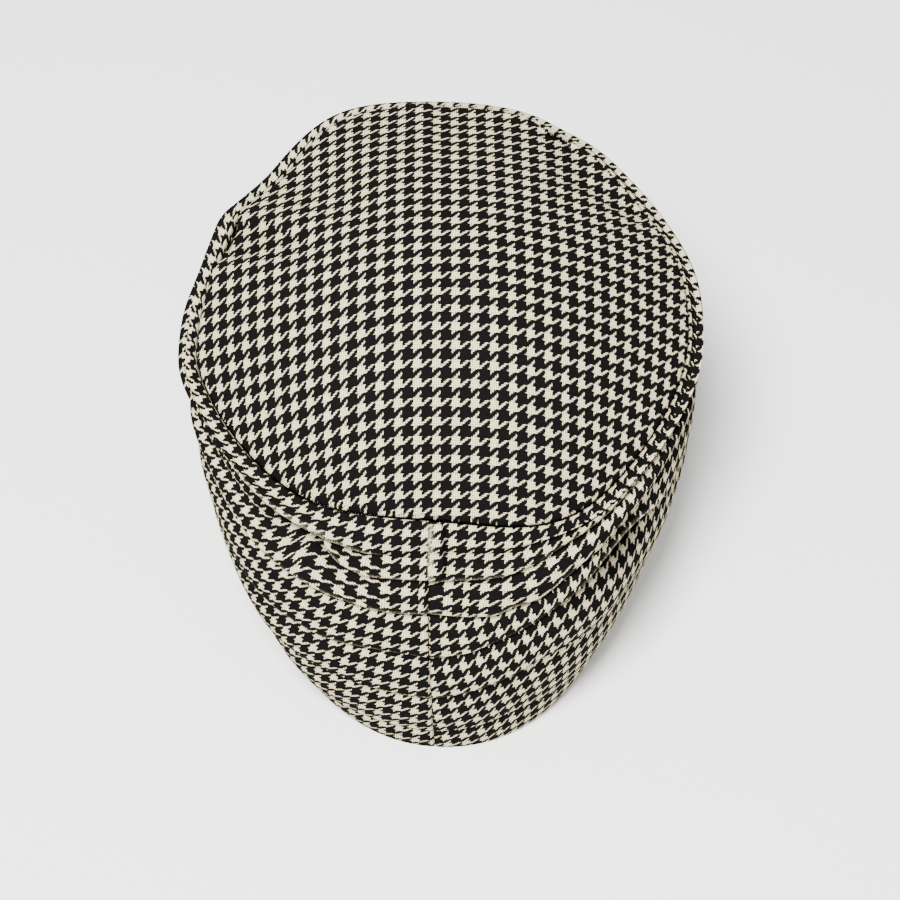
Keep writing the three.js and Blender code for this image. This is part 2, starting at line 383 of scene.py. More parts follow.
class Skin:
    """Rows of the side panel's outer cloth, from the hem's edge up to the tip seam."""

    def __init__(self, azimuth, overhang_scale):
        self.azimuth = azimuth
        self.rows, self.shades, self.edges, self.tags, self.tucks = [], [], [], [], []
        for name, table, overhang, depth, puff, rubbed_and_highlit in TUCKS:
            folded = along_table(table, azimuth, 2)
            uneven = soft_noise(azimuth, 0.0, 0.6, 1.5, len(self.tucks))
            stitched = depth < 1
            self.tucks.append({
                "name": name,
                "puff": puff,
                "share": along_table(table, azimuth, 1),
                "folded": folded * 0.7 if stitched else folded,
                "over": 0.03 + overhang * overhang_scale * folded,
                "deep": 0.06 + depth * folded,
                "slot": 0.02 + (0.05 if stitched else 0.45 * folded),
                "rubbed_and_highlit": rubbed_and_highlit * np.clip(0.7 + uneven, 0.1, 1.3),
            })
        self.crown_share = along_table(CROWN_TUCK, azimuth, 1)

    def add(self, share, lift, tag, shade=1.0, edge=0.0):
        share = np.clip(share, 0, 1)
        place, _, normal = side_frame(self.azimuth, share)
        relief = seam_relief(self.azimuth, share, self.crown_share)
        self.rows.append(place + normal * (lift + relief)[..., None])
        # Painted shade falls in the seam's groove and under the flap's right edge; a shade above one is a
        # painted highlight on a fold's nose.
        groove = 0.45 * np.clip(-relief / 0.5, 0, 1)
        rubbed_and_highlit, shadow = flap_wear_and_painted_light(self.azimuth, share, self.crown_share)
        self.shades.append(np.clip(shade + np.zeros_like(lift), 0, 1.2) * (1 - groove) * (1 - shadow))
        # The edge value is wear with a painted highlight, on the fold edges and on the flap's left edge.
        self.edges.append(np.maximum(edge, rubbed_and_highlit))
        self.tags.append(tag)

    def offset(self, share, millimetres):
        """A share of the height moved up by some millimetres."""
        _, per_share, _ = side_frame(self.azimuth, share)
        return share + millimetres / per_share

    def fold_shadow(self, number, share):
        """What the shadow under a tuck leaves of the cloth's colour."""
        left = np.ones_like(share)
        for tuck in self.tucks[number : number + 1]:
            for name, middle, spread, reach, dark in FOLD_SHADOWS:
                if name == tuck["name"]:
                    near = nearness(self.azimuth, middle, spread)
                    left = left - dark * near * bell(tuck["share"] - share, reach)
        return left

    def tier(self, number, start, end, base_lift, puff):
        """The rows of cloth between two tucks, puffed out between them."""
        points = TIER_POINTS[number]
        first = self.offset(start, 0.65 * base_lift)
        last = self.offset(end, -BELOW_TUCK)
        for i in range(points):
            along = ((i + 1) / (points + 1)) ** 1.1
            share = first + (last - first) * along
            lift = base_lift * (1 - along) ** 1.2 + puff * np.sin(math.pi * along)
            self.add(share, lift, ("tier", number), self.fold_shadow(number, share))

    def tuck(self, number):
        """The rows of one tuck: rise and lift in millimetres, darkness of painted shade, and wear of the edge
        with a painted highlight.
        """
        tuck = self.tucks[number]
        at, over, deep, slot = tuck["share"], tuck["over"], tuck["deep"], tuck["slot"]
        sunk = -0.25 * over
        # The darkness column is painted shade in the hidden fold and just under the nose; below zero it is a
        # painted highlight on the nose. The edge column is wear with a painted highlight on the fold's edge.
        steps = (
            (-BELOW_TUCK, sunk * 0.6, 0.0, 0), (-1.8, sunk * 0.9, 0.10, 0), (-0.4 * over, sunk, 0.40, 0),
            (0.0, sunk, 0.65, 0), (deep * 0.5, sunk, 0.8, 0), (deep * 0.93, sunk, 0.8, 0),
            (deep + slot * 0.5, sunk + slot * 0.5, 0.8, 0), (deep * 0.93, sunk + slot, 0.8, 0),
            (deep * 0.5, sunk + slot, 0.8, 0), (0.25 * over, sunk + slot, 0.7, 0),
            (-0.08 * over, slot, 0.55, 0), (-0.2 * over, slot + 0.3 * over, 0.2, 0.2),
            (-0.17 * over, slot + 0.6 * over, 0.0, 0.75), (0.02 * over, slot + 0.85 * over, -0.08, 0.8),
            (0.30 * over, slot + 0.98 * over, -0.04, 0.25), (0.6 * over, slot + over, 0.0, 0.0),
        )
        amount = np.clip(tuck["folded"], 0, 1)
        for i, (rise, lift, dark, edge) in enumerate(steps):
            share = self.offset(at, rise)
            shade = 1 - dark * amount
            if i < FOLD_FIRST:
                shade = shade * self.fold_shadow(number, share)
            self.add(share, lift, ("tuck", number, i), shade, edge * amount * tuck["rubbed_and_highlit"])

    def build(self):
        """All rows from the hem's edge to the roll in the tip seam."""
        zero = np.zeros_like(self.azimuth)
        for rise, lift in HEM_EDGE:
            self.add(self.offset(zero, rise), zero + lift, ("hem", 0))
        start = self.offset(zero, 1.2)
        lift, puff = zero, 0.8
        for number, tuck in enumerate(self.tucks):
            self.tier(number, start, tuck["share"], lift, puff)
            self.tuck(number)
            start, lift, puff = tuck["share"], tuck["slot"] + tuck["over"], tuck["puff"]
        end = self.offset(zero + 1.0, -1.9)
        roll = around_hat(self.azimuth, **TOP_ROLL)
        self.tier(len(self.tucks), start, end, lift, puff + roll)
        self.add(end, zero + 0.25, ("top", 0))
        # The cloth turning into the tip seam gets painted shade, darker deeper in the seam.
        for across, inside, shade in SEAM_ROLL:
            self.rows.append(seam_offset(self.azimuth, across, inside))
            self.shades.append(zero + shade)
            self.edges.append(zero)
            self.tags.append(("top", 1))
        return np.array(self.rows)


def from_top(x, y):
    """Bearing and distance of a place in plan from the top of the dome."""
    x, y = x - DOME_TOP[0], y - DOME_TOP[1]
    return np.degrees(np.arctan2(x, -y)), np.hypot(x, y)


def tip_height(x, y):
    """Height of the crown tip above a place in plan."""
    azimuth = np.arange(0.0, 360.0, 0.5)
    edge = seam_offset(azimuth, -SEWN_GAP / 2, 0.0)
    bearing, reach = from_top(edge[:, 0], edge[:, 1])
    fullness = around_hat(azimuth, **DOME_FULLNESS)
    here, away = from_top(x, y)
    ring = np.clip(away / np.interp(here, bearing, reach, period=360), 0, 1.08)
    k = np.interp(here, bearing, fullness, period=360)
    low = np.interp(here, bearing, edge[:, 2], period=360)
    return DOME_TOP[2] + (low - DOME_TOP[2]) * (k * ring ** 2 + (1 - k) * ring ** 4)


def cloth_on_tip(points, grain_turn):
    """Lengths along the cloth's two thread directions from the middle of the tip, in millimetres.

    At the left the cloth is drawn a little off its grain."""
    c, s = math.cos(grain_turn), math.sin(grain_turn)
    a = points[:, 0] * c + points[:, 1] * s
    b = -points[:, 0] * s + points[:, 1] * c
    steps = np.linspace(0, 1, 41)[:, None]
    lengths = []
    for run, p, q in ((steps * a, steps * a, b), (steps * b, a, steps * b)):
        z = tip_height(p * c - q * s, p * s + q * c)
        piece = np.hypot(np.diff(run, axis=0), np.diff(z, axis=0))
        lengths.append(piece.sum(axis=0) * np.sign(run[-1]))
    lengths = np.stack(lengths, -1)
    off_grain = np.maximum(-points[:, 0] - OFF_GRAIN_FROM, 0.0) ** 2
    return lengths + off_grain[:, None] * np.array(OFF_GRAIN)


def tip_ring(edge, ring):
    """Points of the smooth dome at a share of the way from its top to the seam's edge."""
    top = np.array(DOME_TOP[:2])
    plan = top + (edge[:, :2] - top) * ring
    return np.column_stack([plan, tip_height(plan[:, 0], plan[:, 1])])


def new_object(name, data):
    """A new object in the scene, shaded smooth where it has faces."""
    if isinstance(data, bpy.types.Mesh):
        data.polygons.foreach_set("use_smooth", [True] * len(data.polygons))
    obj = bpy.data.objects.new(name, data)
    bpy.context.scene.collection.objects.link(obj)
    return obj


def cloth_object(name, points, faces, lengths, shade, edge, cloth):
    """A closed piece of houndstooth wool in metres, with the cloth's own lengths as its UV map.

    Each point has a painted shade, lower in creases, seams and under folds and above one as a painted
    highlight on fold noses, and an edge value where a fold is worn pale, partly a painted highlight."""
    mesh = bpy.data.meshes.new(name)
    mesh.from_pydata([tuple(p) for p in np.asarray(points) * MM], [], faces)
    layer = mesh.uv_layers.new(name="ClothLength")
    layer.data.foreach_set("uv", (np.asarray(lengths, float) * MM).reshape(-1))
    for title, values in (("Shade", shade), ("Edge", edge)):
        painted_light_and_wear = mesh.attributes.new(title, "FLOAT", "POINT")
        painted_light_and_wear.data.foreach_set("value", np.asarray(values, float).reshape(-1))
    mesh.materials.append(shared_material("Houndstooth wool", houndstooth_wool, cloth))
    obj = new_object(name, mesh)
    check_closed(obj)
    return obj


def check_closed(obj):
    """Turns the faces outwards, also where the whole mesh came out inside out, and stops if the mesh is open.
    """
    work = bmesh.new()
    work.from_mesh(obj.data)
    bmesh.ops.recalc_face_normals(work, faces=work.faces)
    if work.calc_volume(signed=True) < 0:
        bmesh.ops.reverse_faces(work, faces=work.faces)
    open_edges = sum(1 for e in work.edges if not e.is_manifold)
    work.to_mesh(obj.data)
    work.free()
    if open_edges:
        raise RuntimeError(f"{obj.name}: {open_edges} edges are open")


class NodeMaker:
    """Short ways to add and link the nodes of one tree."""

    def __init__(self, tree):
        self.tree = tree

    def link(self, source, target):
        self.tree.links.new(source, target)

    def node(self, kind, name="", inputs=(), **settings):
        """A new node. An input is given another node's output or a plain value."""
        made = self.tree.nodes.new(kind)
        if name:
            made.name = made.label = name
        for key, value in settings.items():
            setattr(made, key, value)
        for key, value in dict(inputs).items():
            if isinstance(value, bpy.types.NodeSocket):
                self.link(value, made.inputs[key])
            else:
                made.inputs[key].default_value = value
        return made

    def math(self, operation, *values, name=""):
        return self.node("ShaderNodeMath", name, enumerate(values), operation=operation).outputs[0]

    def mix_colour(self, share, first, second, name="", blend="MIX"):
        pair = [c if isinstance(c, bpy.types.NodeSocket) else (*c[:3], 1.0) for c in (first, second)]
        inputs = zip((0, 6, 7), (share, *pair))
        return self.node("ShaderNodeMix", name, inputs, data_type="RGBA", blend_type=blend).outputs[2]

    def noise(self, place, scale, detail, name):
        return self.node("ShaderNodeTexNoise", name, {"Vector": place, "Scale": scale, "Detail": detail})

    def moved(self, noise, amount, place, name):
        """A place in the cloth moved by a noise, by up to an amount of threads."""
        inputs = enumerate((noise.outputs["Color"], (amount, amount, 0.0), place))
        return self.node("ShaderNodeVectorMath", name, inputs, operation="MULTIPLY_ADD").outputs[0]

    def bump(self, shader, height, strength, distance, name):
        inputs = {"Height": height, "Strength": strength, "Distance": distance}
        self.link(self.node("ShaderNodeBump", name, inputs).outputs[0], shader.inputs["Normal"])


def start_material(name, roughness):
    """A new material with the maker of its nodes and its shader."""
    material = bpy.data.materials.new(name)
    material.use_nodes = True
    shader = material.node_tree.nodes["Principled BSDF"]
    shader.inputs["Roughness"].default_value = roughness
    return material, NodeMaker(material.node_tree), shader


# Threads in one check each way, and how many of them a thread wanders.
THREADS = 8.0
THREAD_WANDER = 0.5


def houndstooth_wool(cloth):
    """Four dark and four light threads each way in a two-and-two twill, rounded and a little hairy."""
    material, make, shader = start_material("Houndstooth wool", 0.92)
    uv = make.node("ShaderNodeUVMap", "Cloth length", uv_map="ClothLength").outputs[0]
    thread = cloth.check_size / THREADS
    scaled = make.node("ShaderNodeMapping", "Threads", {"Vector": uv, "Scale": (1 / thread, 1 / thread, 1.0)})

    def even_threads(place_in_cloth, name):
        """Counts the threads where the four dark ones of each check fill more than half of it."""
        check = make.math("DIVIDE", place_in_cloth, THREADS)
        share = make.math("FRACT", check)
        half = THREADS / 2
        dark_part = make.math("MINIMUM", make.math("MULTIPLY", share, half / cloth.dark_share), half)
        past_dark = make.math("SUBTRACT", share, cloth.dark_share)
        light_part = make.math("MULTIPLY", past_dark, half / (1 - cloth.dark_share))
        light_part = make.math("MAXIMUM", light_part, 0.0)
        whole = make.math("MULTIPLY", make.math("FLOOR", check), THREADS)
        return make.math("ADD", whole, make.math("ADD", dark_part, light_part), name=name)

    place = make.node("ShaderNodeTexCoord", "Place").outputs["Object"]

    wander = make.noise(place, 210.0, 2.0, "Thread wander")
    hairy = make.noise(place, 1300.0, 2.0, "Hairiness")
    shifted = make.moved(wander, THREAD_WANDER, scaled.outputs[0], "Wander amount")
    ragged = make.moved(hairy, cloth.raggedness, shifted, "Ragged edges")
    split = make.node("ShaderNodeSeparateXYZ", "Ends and picks", {0: ragged})
    def limited(value, name=""):
        return make.math("MINIMUM", make.math("MAXIMUM", value, 0.0), 1.0, name=name)

    def one_way(place_in_cloth, name):
        """Counted threads of one direction, one in the light ones and nothing in the dark, roundness."""
        count = even_threads(place_in_cloth, name + " counted")
        wave = make.math("COSINE", make.math("MULTIPLY_ADD", count, math.pi / 4, -1.5 * math.pi))
        light = limited(make.math("MULTIPLY_ADD", wave, 1 / cloth.band_fade, 0.5), "Light " + name)
        return count, light, make.math("COSINE", make.math("MULTIPLY", count, 2 * math.pi))

    x, light_end, across_end = one_way(split.outputs[0], "ends")
    y, light_pick, across_pick = one_way(split.outputs[1], "picks")
    twill = make.math("MULTIPLY_ADD", make.math("SUBTRACT", x, y), math.pi / 2, cloth.twill_shift)
    warp_up = make.math("MULTIPLY_ADD", make.math("SINE", twill), 0.5, 0.5, name="Warp on top")

    def on_top(if_weft, if_warp, name):
        inputs = {0: warp_up, 2: if_weft, 3: if_warp}
        return make.node("ShaderNodeMix", name, inputs, data_type="FLOAT").outputs[0]

    roundness = on_top(across_pick, across_end, "Roundness of the thread on top")
    crossing = make.math("MULTIPLY", across_end, across_pick, name="Crossing")
    shown = make.math("MULTIPLY_ADD", roundness, -cloth.bead, on_top(light_pick, light_end, "Light on top"))
    shown = make.math("MULTIPLY_ADD", crossing, -cloth.bead, shown)
    covering = make.math("SUBTRACT", shown, cloth.dark_cover)
    light_seen = limited(make.math("MULTIPLY_ADD", covering, 1 / cloth.softness, 0.5), "Light seen")
    dark = make.math("SUBTRACT", 1.0, make.math("POWER", light_seen, 1.8), name="Dark")
    profile = make.math("MULTIPLY_ADD", roundness, -0.5, 0.5, name="Thread profile")

    soft = make.noise(place, 22.0, 2.0, "Soft patches")
    flecks = make.noise(place, 2600.0, 1.0, "Fibre flecks")
    light = make.mix_colour(soft.outputs[0], cloth.light_wool, cloth.light_wool_shade, "Light wool")
    black = make.mix_colour(flecks.outputs[0], cloth.dark_wool, cloth.dark_wool_bloom, "Dark wool")
    colour = make.mix_colour(dark, light, black, "Houndstooth")
    # Painted shade between the rounded threads, a little lighter on each thread's crown.
    shade = make.math("MULTIPLY_ADD", profile, 0.24, 0.80, name="Painted shade between threads")
    fleck = make.math("MULTIPLY_ADD", flecks.outputs[0], 0.22, 0.89, name="Fleck shade")
    # The Shade attribute: painted shade in creases, seams and under folds, with a painted highlight on fold
    # noses.
    painted_shade = make.node("ShaderNodeAttribute", "Shade", attribute_name="Shade").outputs["Fac"]
    value = make.math("MULTIPLY", make.math("MULTIPLY", shade, fleck), painted_shade)
    # The Edge attribute turns worn fold edges pale among the hairs: partly wear, partly a painted highlight.
    edge = make.node("ShaderNodeAttribute", "Edge", attribute_name="Edge").outputs["Fac"]
    hairs_worn_and_lit = limited(make.math("MULTIPLY_ADD", hairy.outputs[0], 5.0, -1.9))
    rubbed_and_highlit = make.math("MULTIPLY", edge, hairs_worn_and_lit, name="Rubbed and highlit")
    colour = make.mix_colour(rubbed_and_highlit, colour, cloth.light_wool_shade, "Rubbed edge")
    grey = make.node("ShaderNodeCombineColor", "Shade as colour", enumerate([value] * 3))
    final = make.mix_colour(1.0, colour, grey.outputs[0], "Shaded threads", "MULTIPLY")
    make.link(final, shader.inputs["Base Color"])

    height = make.math("ADD", profile, make.math("MULTIPLY", hairy.outputs[0], 0.5), name="Thread height")
    make.bump(shader, height, 0.55, 0.00035, "Thread bump")
    shader.inputs["Specular IOR Level"].default_value = 0.01
    return material


def sewing_thread(cloth):
    """Dark matt polyester thread with a fine twist."""
    material, make, shader = start_material("Sewing thread", 0.7)
    place = make.node("ShaderNodeTexCoord", "Place").outputs["Object"]
    twist = make.noise(place, 3000.0, 1.0, "Twist")
    colour = make.mix_colour(twist.outputs[0], cloth.thread_colour, cloth.dark_wool_bloom, "Thread colour")
    make.link(colour, shader.inputs["Base Color"])
    make.bump(shader, twist.outputs[0], 0.3, 0.0001, "Twist bump")
    return material


def shared_material(name, maker, cloth):
    found = bpy.data.materials.get(name)
    return found or maker(cloth)


def number(title, about, default, low, high):
    return FloatProperty(name=title, description=about, default=default, min=low, max=high)


def length(title, about, default):
    return FloatProperty(name=title, description=about, default=default, unit="LENGTH", precision=5)


def angle(title, about, degrees):
    return FloatProperty(name=title, description=about, default=math.radians(degrees), unit="ROTATION")


def colour(title, about, default):
    return FloatVectorProperty(
        name=title, description=about, subtype="COLOR", size=3, default=default, min=0.0, max=1.0
    )


class TURBAN_PG_cloth(bpy.types.PropertyGroup):
    """The cloth of the hat and its thread."""

    check_size: length("Check size", "Width of one houndstooth check with its neighbour", 0.00835)
    dark_share: number("Dark share", "Share of each check that its dark threads fill", 0.53, 0.3, 0.7)
    dark_cover: number("Dark cover", "How far the dark threads close over the light", 0.80, 0.1, 0.9)
    band_fade: number("Band fade", "How gently light threads give way to dark ones", 0.9, 0.1, 2.0)
    twill_shift: angle("Twill shift", "Where the twill's step lies against the bands of colour", -42.6)
    bead: number("Bead", "How strongly a thread shows as a bead at a check's edge", 0.2, 0.0, 1.0)
    raggedness: number("Raggedness", "How far hairs blur an edge, in threads", 0.6, 0.0, 2.0)
    softness: number("Softness", "How gently one thread's colour fades into the next", 0.35, 0.01, 2.0)
    grain_turn: angle("Grain turn", "Turn of the tip's threads from the centre-back line", 3.8)
    light_wool: colour("Light wool", "Colour of the light threads", (0.845, 0.76, 0.485))
    light_wool_shade: colour("Light wool shade", "The light threads' greyer patches", (0.75, 0.675, 0.445))
    dark_wool: colour("Dark wool", "Colour of the dark threads", (0.0026, 0.0025, 0.0025))
    dark_wool_bloom: colour("Dark wool bloom", "Paler fibres among the dark", (0.0075, 0.0070, 0.0068))
    thread_colour: colour("Thread colour", "Colour of the sewing thread", (0.010, 0.010, 0.012))


class TURBAN_PG_sewing(bpy.types.PropertyGroup):
    """Tucks and stitches."""

    overhang: number("Tuck overhang", "How far tucks stand out, against their drawn size", 1.0, 0.0, 2.0)
    stitch_length: length("Stitch length", "Length of one hem stitch", 0.0024)
    stitch_spacing: length("Stitch spacing", "Distance from one hem stitch to the next", 0.0031)
    thread_radius: length("Thread radius", "Half the thickness of the sewing thread", 0.00022)


class TURBAN_PG_stage(bpy.types.PropertyGroup):
    """Floor, light and camera."""

    floor_colour: colour("Floor colour", "Colour of the plain pale floor", (0.98, 0.98, 0.98))
    camera_distance: length("Camera distance", "From the camera to the middle of the hat", 1.1)
    camera_elevation: angle("Camera elevation", "Height of the view above the horizon", 57.0)
    camera_azimuth: angle("Camera azimuth", "Turn of the view from straight behind to the right", 3.76)
    lens: number("Lens", "Focal length in millimetres on a 36 mm frame", 93.2, 20.0, 300.0)
    key_power: number("Key power", "Watts of the large soft light above", 96.0, 0.0, 1000.0)
    fill_strength: number("Fill strength", "Strength of the even light from all round", 0.85, 0.0, 10.0)


def side_cloth_lengths(azimuth, points, tags):
    """Lengths along and up the side panel's cloth for each row and column, in millimetres.

    The threads of each band follow its middle line, so they climb where the tucks climb."""
    rows, columns = points.shape[:2]
    steps = np.linalg.norm(np.diff(points, axis=0), axis=-1)
    tucked = [tag[2] if tag[0] == "tuck" else -1 for tag in tags]
    hidden = [i for i, place in enumerate(tucked[1:]) if FOLD_FIRST <= place <= FOLD_LAST]
    steps[hidden] *= HIDDEN_CLOTH
    steps *= EASED_IN[0]
    turn = np.minimum(azimuth, 360.0 - azimuth)
    eased = 1 + EASED_IN[1] * np.clip((turn - EASE_STARTS) / EASE_OVER, 0, 1)
    climbed = np.concatenate([np.zeros((1, columns)), np.cumsum(steps, axis=0)])
    starts = [i for i, place in enumerate(tucked) if place == BAND_START]
    edges = [0] + starts[:BANDED_TUCKS] + [rows]
    lengths = np.zeros((rows, columns, 2))
    drift = BACK_DRIFT * (1 - azimuth / 180.0)
    for band in range(len(edges) - 1):
        low, high = edges[band], edges[band + 1]
        middle = rows - 5 if band == BANDED_TUCKS else (low + high) // 2
        line = points[middle]
        pieces = np.linalg.norm(np.diff(line, axis=0), axis=-1)
        along = np.concatenate([[0], np.cumsum(pieces * eased[:-1])])
        up = unit(points[min(middle + 2, rows - 1)] - points[middle - 2])
        tangent = unit(np.gradient(line, azimuth, axis=0))
        lean = (tangent * up).sum(-1)
        window = np.ones(2 * LEAN_COLUMNS + 1) / (2 * LEAN_COLUMNS + 1)
        lean = np.convolve(np.pad(lean, LEAN_COLUMNS, mode="edge"), window, mode="valid")
        lean = np.clip(lean, -LEAN_LIMIT, LEAN_LIMIT)
        height = climbed[low:high] - climbed[middle]
        lengths[low:high, :, 0] = along + height * lean + BAND_STEP * band
        level = climbed[middle, 0]
        lengths[low:high, :, 1] = level + height * np.sqrt(1 - lean ** 2) + drift
    return lengths


class TURBAN_OT_side_panel(bpy.types.Operator):
    """Makes the tucked side panel with its turned hem and centre-back seam"""

    bl_idname = "turban.side_panel"
    bl_label = "Side Panel"

    def execute(self, context):
        cloth, sewing = context.scene.turban_cloth, context.scene.turban_sewing
        azimuth = side_azimuths()
        skin = Skin(azimuth, sewing.overhang)
        outer = skin.build()
        lengths = side_cloth_lengths(azimuth, outer, skin.tags)
        hem_share = skin.tucks[0]["share"]
        zero = np.zeros_like(azimuth)
        inner = [seam_offset(azimuth, *SEAM_END)]
        plan = [(share + zero, WALL) for share in INNER_ROWS]
        plan += [(hem_share * hems + share, depth) for hems, share, depth in HEM_ROWS]
        for share, depth in plan:
            place, _, normal = side_frame(azimuth, share)
            inner.append(place - normal * depth)
        inner = np.array(inner)
        inner[-1][:, 2] = 0.0
        points = np.concatenate([outer, inner])
        points[0][:, 2] = 0.0
        points[..., 2] = np.maximum(points[..., 2], 0.0)
        rows, columns = points.shape[:2]
        back = np.cumsum(np.linalg.norm(np.diff(points[len(outer) - 1 :], axis=0), axis=-1), axis=0)
        behind = lengths[-1:] + np.stack([np.zeros_like(back), back], -1)
        lengths = np.concatenate([lengths, behind])
        faces, uv = [], []
        closing = np.linalg.norm(points[:, 0] - points[:, -1], axis=-1)
        for i in range(rows):
            up = (i + 1) % rows
            for j in range(columns):
                right = (j + 1) % columns
                faces.append((i * columns + j, i * columns + right, up * columns + right, up * columns + j))
                a, b = lengths[i, j], lengths[i, right]
                c, d = lengths[up, right], lengths[up, j]
                if up == 0:
                    c, d = b + [0.0, HEM_EDGE_CLOTH], a + [0.0, HEM_EDGE_CLOTH]
                elif skin_break(skin.tags, i):
                    c, d = b + [0.0, BAND_EDGE_CLOTH], a + [0.0, BAND_EDGE_CLOTH]
                if right == 0:
                    b, c = a + [closing[i], 0.0], d + [closing[i], 0.0]
                uv.extend((a, b, c, d))
        shade = np.concatenate([np.array(skin.shades), np.full((len(inner), columns), INSIDE_SHADE)])
        edge = np.concatenate([np.array(skin.edges), np.zeros((len(inner), columns))])
        obj = cloth_object("side_panel_cloth", points.reshape(-1, 3), faces, uv, shade, edge, cloth)
        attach(obj, "root")
        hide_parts("side_panel")
        return {"FINISHED"}


def skin_break(tags, row):
    """True where the next row starts another band of the cloth, which happens inside a hidden fold."""
    if row + 1 >= len(tags):
        return False
    nxt = tags[row + 1]
    return nxt[0] == "tuck" and nxt[2] == BAND_START and nxt[1] < BANDED_TUCKS


class TURBAN_OT_crown_tip(bpy.types.Operator):
    """Makes the domed crown tip, rolled down into its seam"""

    bl_idname = "turban.crown_tip"
    bl_label = "Crown Tip"

    def execute(self, context):
        cloth = context.scene.turban_cloth
        azimuth = np.arange(0.0, 360.0, 1.0)
        rings = np.concatenate([np.linspace(0, 0.94, 48)[1:], [0.957, 0.972, 0.984]])
        edge = seam_offset(azimuth, -SEWN_GAP / 2, 0.0)
        top = np.array(DOME_TOP)
        rows = [tip_ring(edge, ring) for ring in rings]
        for across, inside, _ in SEAM_ROLL:
            rows.append(seam_offset(azimuth, -across, inside))
        outer = np.array(rows)
        around = np.roll(outer, -1, axis=1) - np.roll(outer, 1, axis=1)
        rise = np.gradient(outer, axis=0)
        normal = unit(np.cross(rise, around))
        normal *= np.sign(normal[..., 2:3].mean())
        level = np.concatenate([rings, [1.0, 1.0, 1.0]])[:, None]
        calm = np.clip((1 - level) / 0.06, 0, 1) * np.clip(level / 0.15, 0, 1)
        relief = calm * soft_noise(azimuth[None, :], level, *TIP_UNEVEN)
        for _, az1, ring1, az2, ring2, depth, before, behind in TIP_CREASES:
            far = seam_point(np.array([az1, az2]))[:, :2]
            ends = top[:2] + (far - top[:2]) * np.array([[ring1], [ring2]])
            run = ends[1] - ends[0]
            span = np.linalg.norm(run)
            rel = outer[..., :2] - ends[0]
            share = (rel @ run) / span ** 2
            off = (rel[..., 0] * run[1] - rel[..., 1] * run[0]) / span
            fade = np.clip(1 - np.clip(share, 0, 1.2), 0, 1) ** 0.8
            width = np.where(off < 0, before, behind)
            relief -= depth * fade * bell(off, width) * bell(np.minimum(share, 0), 1 / 6)
        outer = outer + normal * (relief * np.where(level < 1, 1.0, 0.6))[..., None]
        pole = np.array([[*DOME_TOP[:2], DOME_TOP[2] + relief[0].mean()]])

        inner = [seam_offset(azimuth, -SEAM_END[0], SEAM_END[1])]
        for ring in np.linspace(0.97, 0.06, 20):
            surface = tip_ring(edge, ring)
            x, y, step = surface[:, 0], surface[:, 1], 0.5
            dx = (tip_height(x + step, y) - tip_height(x - step, y)) / (2 * step)
            dy = (tip_height(x, y + step) - tip_height(x, y - step)) / (2 * step)
            inner.append(surface - unit(np.column_stack([-dx, -dy, np.ones_like(dx)])) * WALL)
        inner = np.array(inner)
        grid = np.concatenate([outer, inner])
        rows, columns = grid.shape[:2]
        under = np.array([[*DOME_TOP[:2], DOME_TOP[2] - WALL]])
        points = np.concatenate([pole, grid.reshape(-1, 3), under])
        lengths = cloth_on_tip(points, cloth.grain_turn)
        last = len(points) - 1
        faces = []
        for j in range(columns):
            right = (j + 1) % columns
            faces.append((0, 1 + right, 1 + j))
            for i in range(rows - 1):
                a, b = 1 + i * columns + j, 1 + i * columns + right
                faces.append((a, b, b + columns, a + columns))
            base = 1 + (rows - 1) * columns
            faces.append((last, base + j, base + right))
        uv = [lengths[v] for face in faces for v in face]
        # Painted shade: none on the dome, darker into the seam roll, and a little on the inner face.
        ring_shades = [1.0] * len(rings) + [roll[2] for roll in SEAM_ROLL] + [INSIDE_SHADE] * len(inner)
        shade = [1.0, *np.repeat(ring_shades, columns), INSIDE_SHADE]
        obj = cloth_object("crown_tip_cloth", points, faces, uv, shade, np.zeros(len(points)), cloth)
        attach(obj, "root")
        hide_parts("crown_tip")
        return {"FINISHED"}


def stitch_tree():
    """Geometry nodes that lay one short thread at each step along an edge path."""
    tree = bpy.data.node_groups.new("Row of stitches", "GeometryNodeTree")
    face = tree.interface
    given = {"Path": "Geometry", "Stitch Length": "Float", "Stitch Spacing": "Float"}
    given.update({"Thread Radius": "Float", "Thread": "Material"})
    for name, kind in given.items():
        face.new_socket(name, in_out="INPUT", socket_type="NodeSocket" + kind)
    face.new_socket("Stitches", in_out="OUTPUT", socket_type="NodeSocketGeometry")
    make = NodeMaker(tree)
    given = make.node("NodeGroupInput").outputs
    curve = make.node("GeometryNodeMeshToCurve", inputs={0: given["Path"]}).outputs[0]
    along = {"Curve": curve, "Length": given["Stitch Spacing"]}
    spaced = make.node("GeometryNodeResampleCurve", inputs=along, mode="LENGTH").outputs[0]
    tangent = make.node("GeometryNodeInputTangent").outputs[0]
    turn = make.node("FunctionNodeAlignRotationToVector", inputs={"Vector": tangent}, axis="Z").outputs[0]
    ball = make.node("GeometryNodeMeshUVSphere", inputs={"Segments": 8, "Rings": 5, "Radius": 1.0}).outputs[0]
    radius, half = given["Thread Radius"], make.math("MULTIPLY", given["Stitch Length"], 0.5)
    size = make.node("ShaderNodeCombineXYZ", inputs=enumerate((radius, radius, half))).outputs[0]
    laid = {"Points": spaced, "Instance": ball, "Rotation": turn, "Scale": size}
    placed = make.node("GeometryNodeInstanceOnPoints", inputs=laid).outputs[0]
    real = make.node("GeometryNodeRealizeInstances", inputs={0: placed}).outputs[0]
    dyed = {"Geometry": real, "Material": given["Thread"]}
    coloured = make.node("GeometryNodeSetMaterial", inputs=dyed).outputs[0]
    make.node("NodeGroupOutput", inputs={0: coloured})
    return tree


def path_object(name, points):
    """A closed ring of edges through points in millimetres."""
    mesh = bpy.data.meshes.new(name)
    count = len(points)
    edges = [(i, (i + 1) % count) for i in range(count)]
    mesh.from_pydata([tuple(p) for p in points * MM], edges, [])
    return new_object(name, mesh)


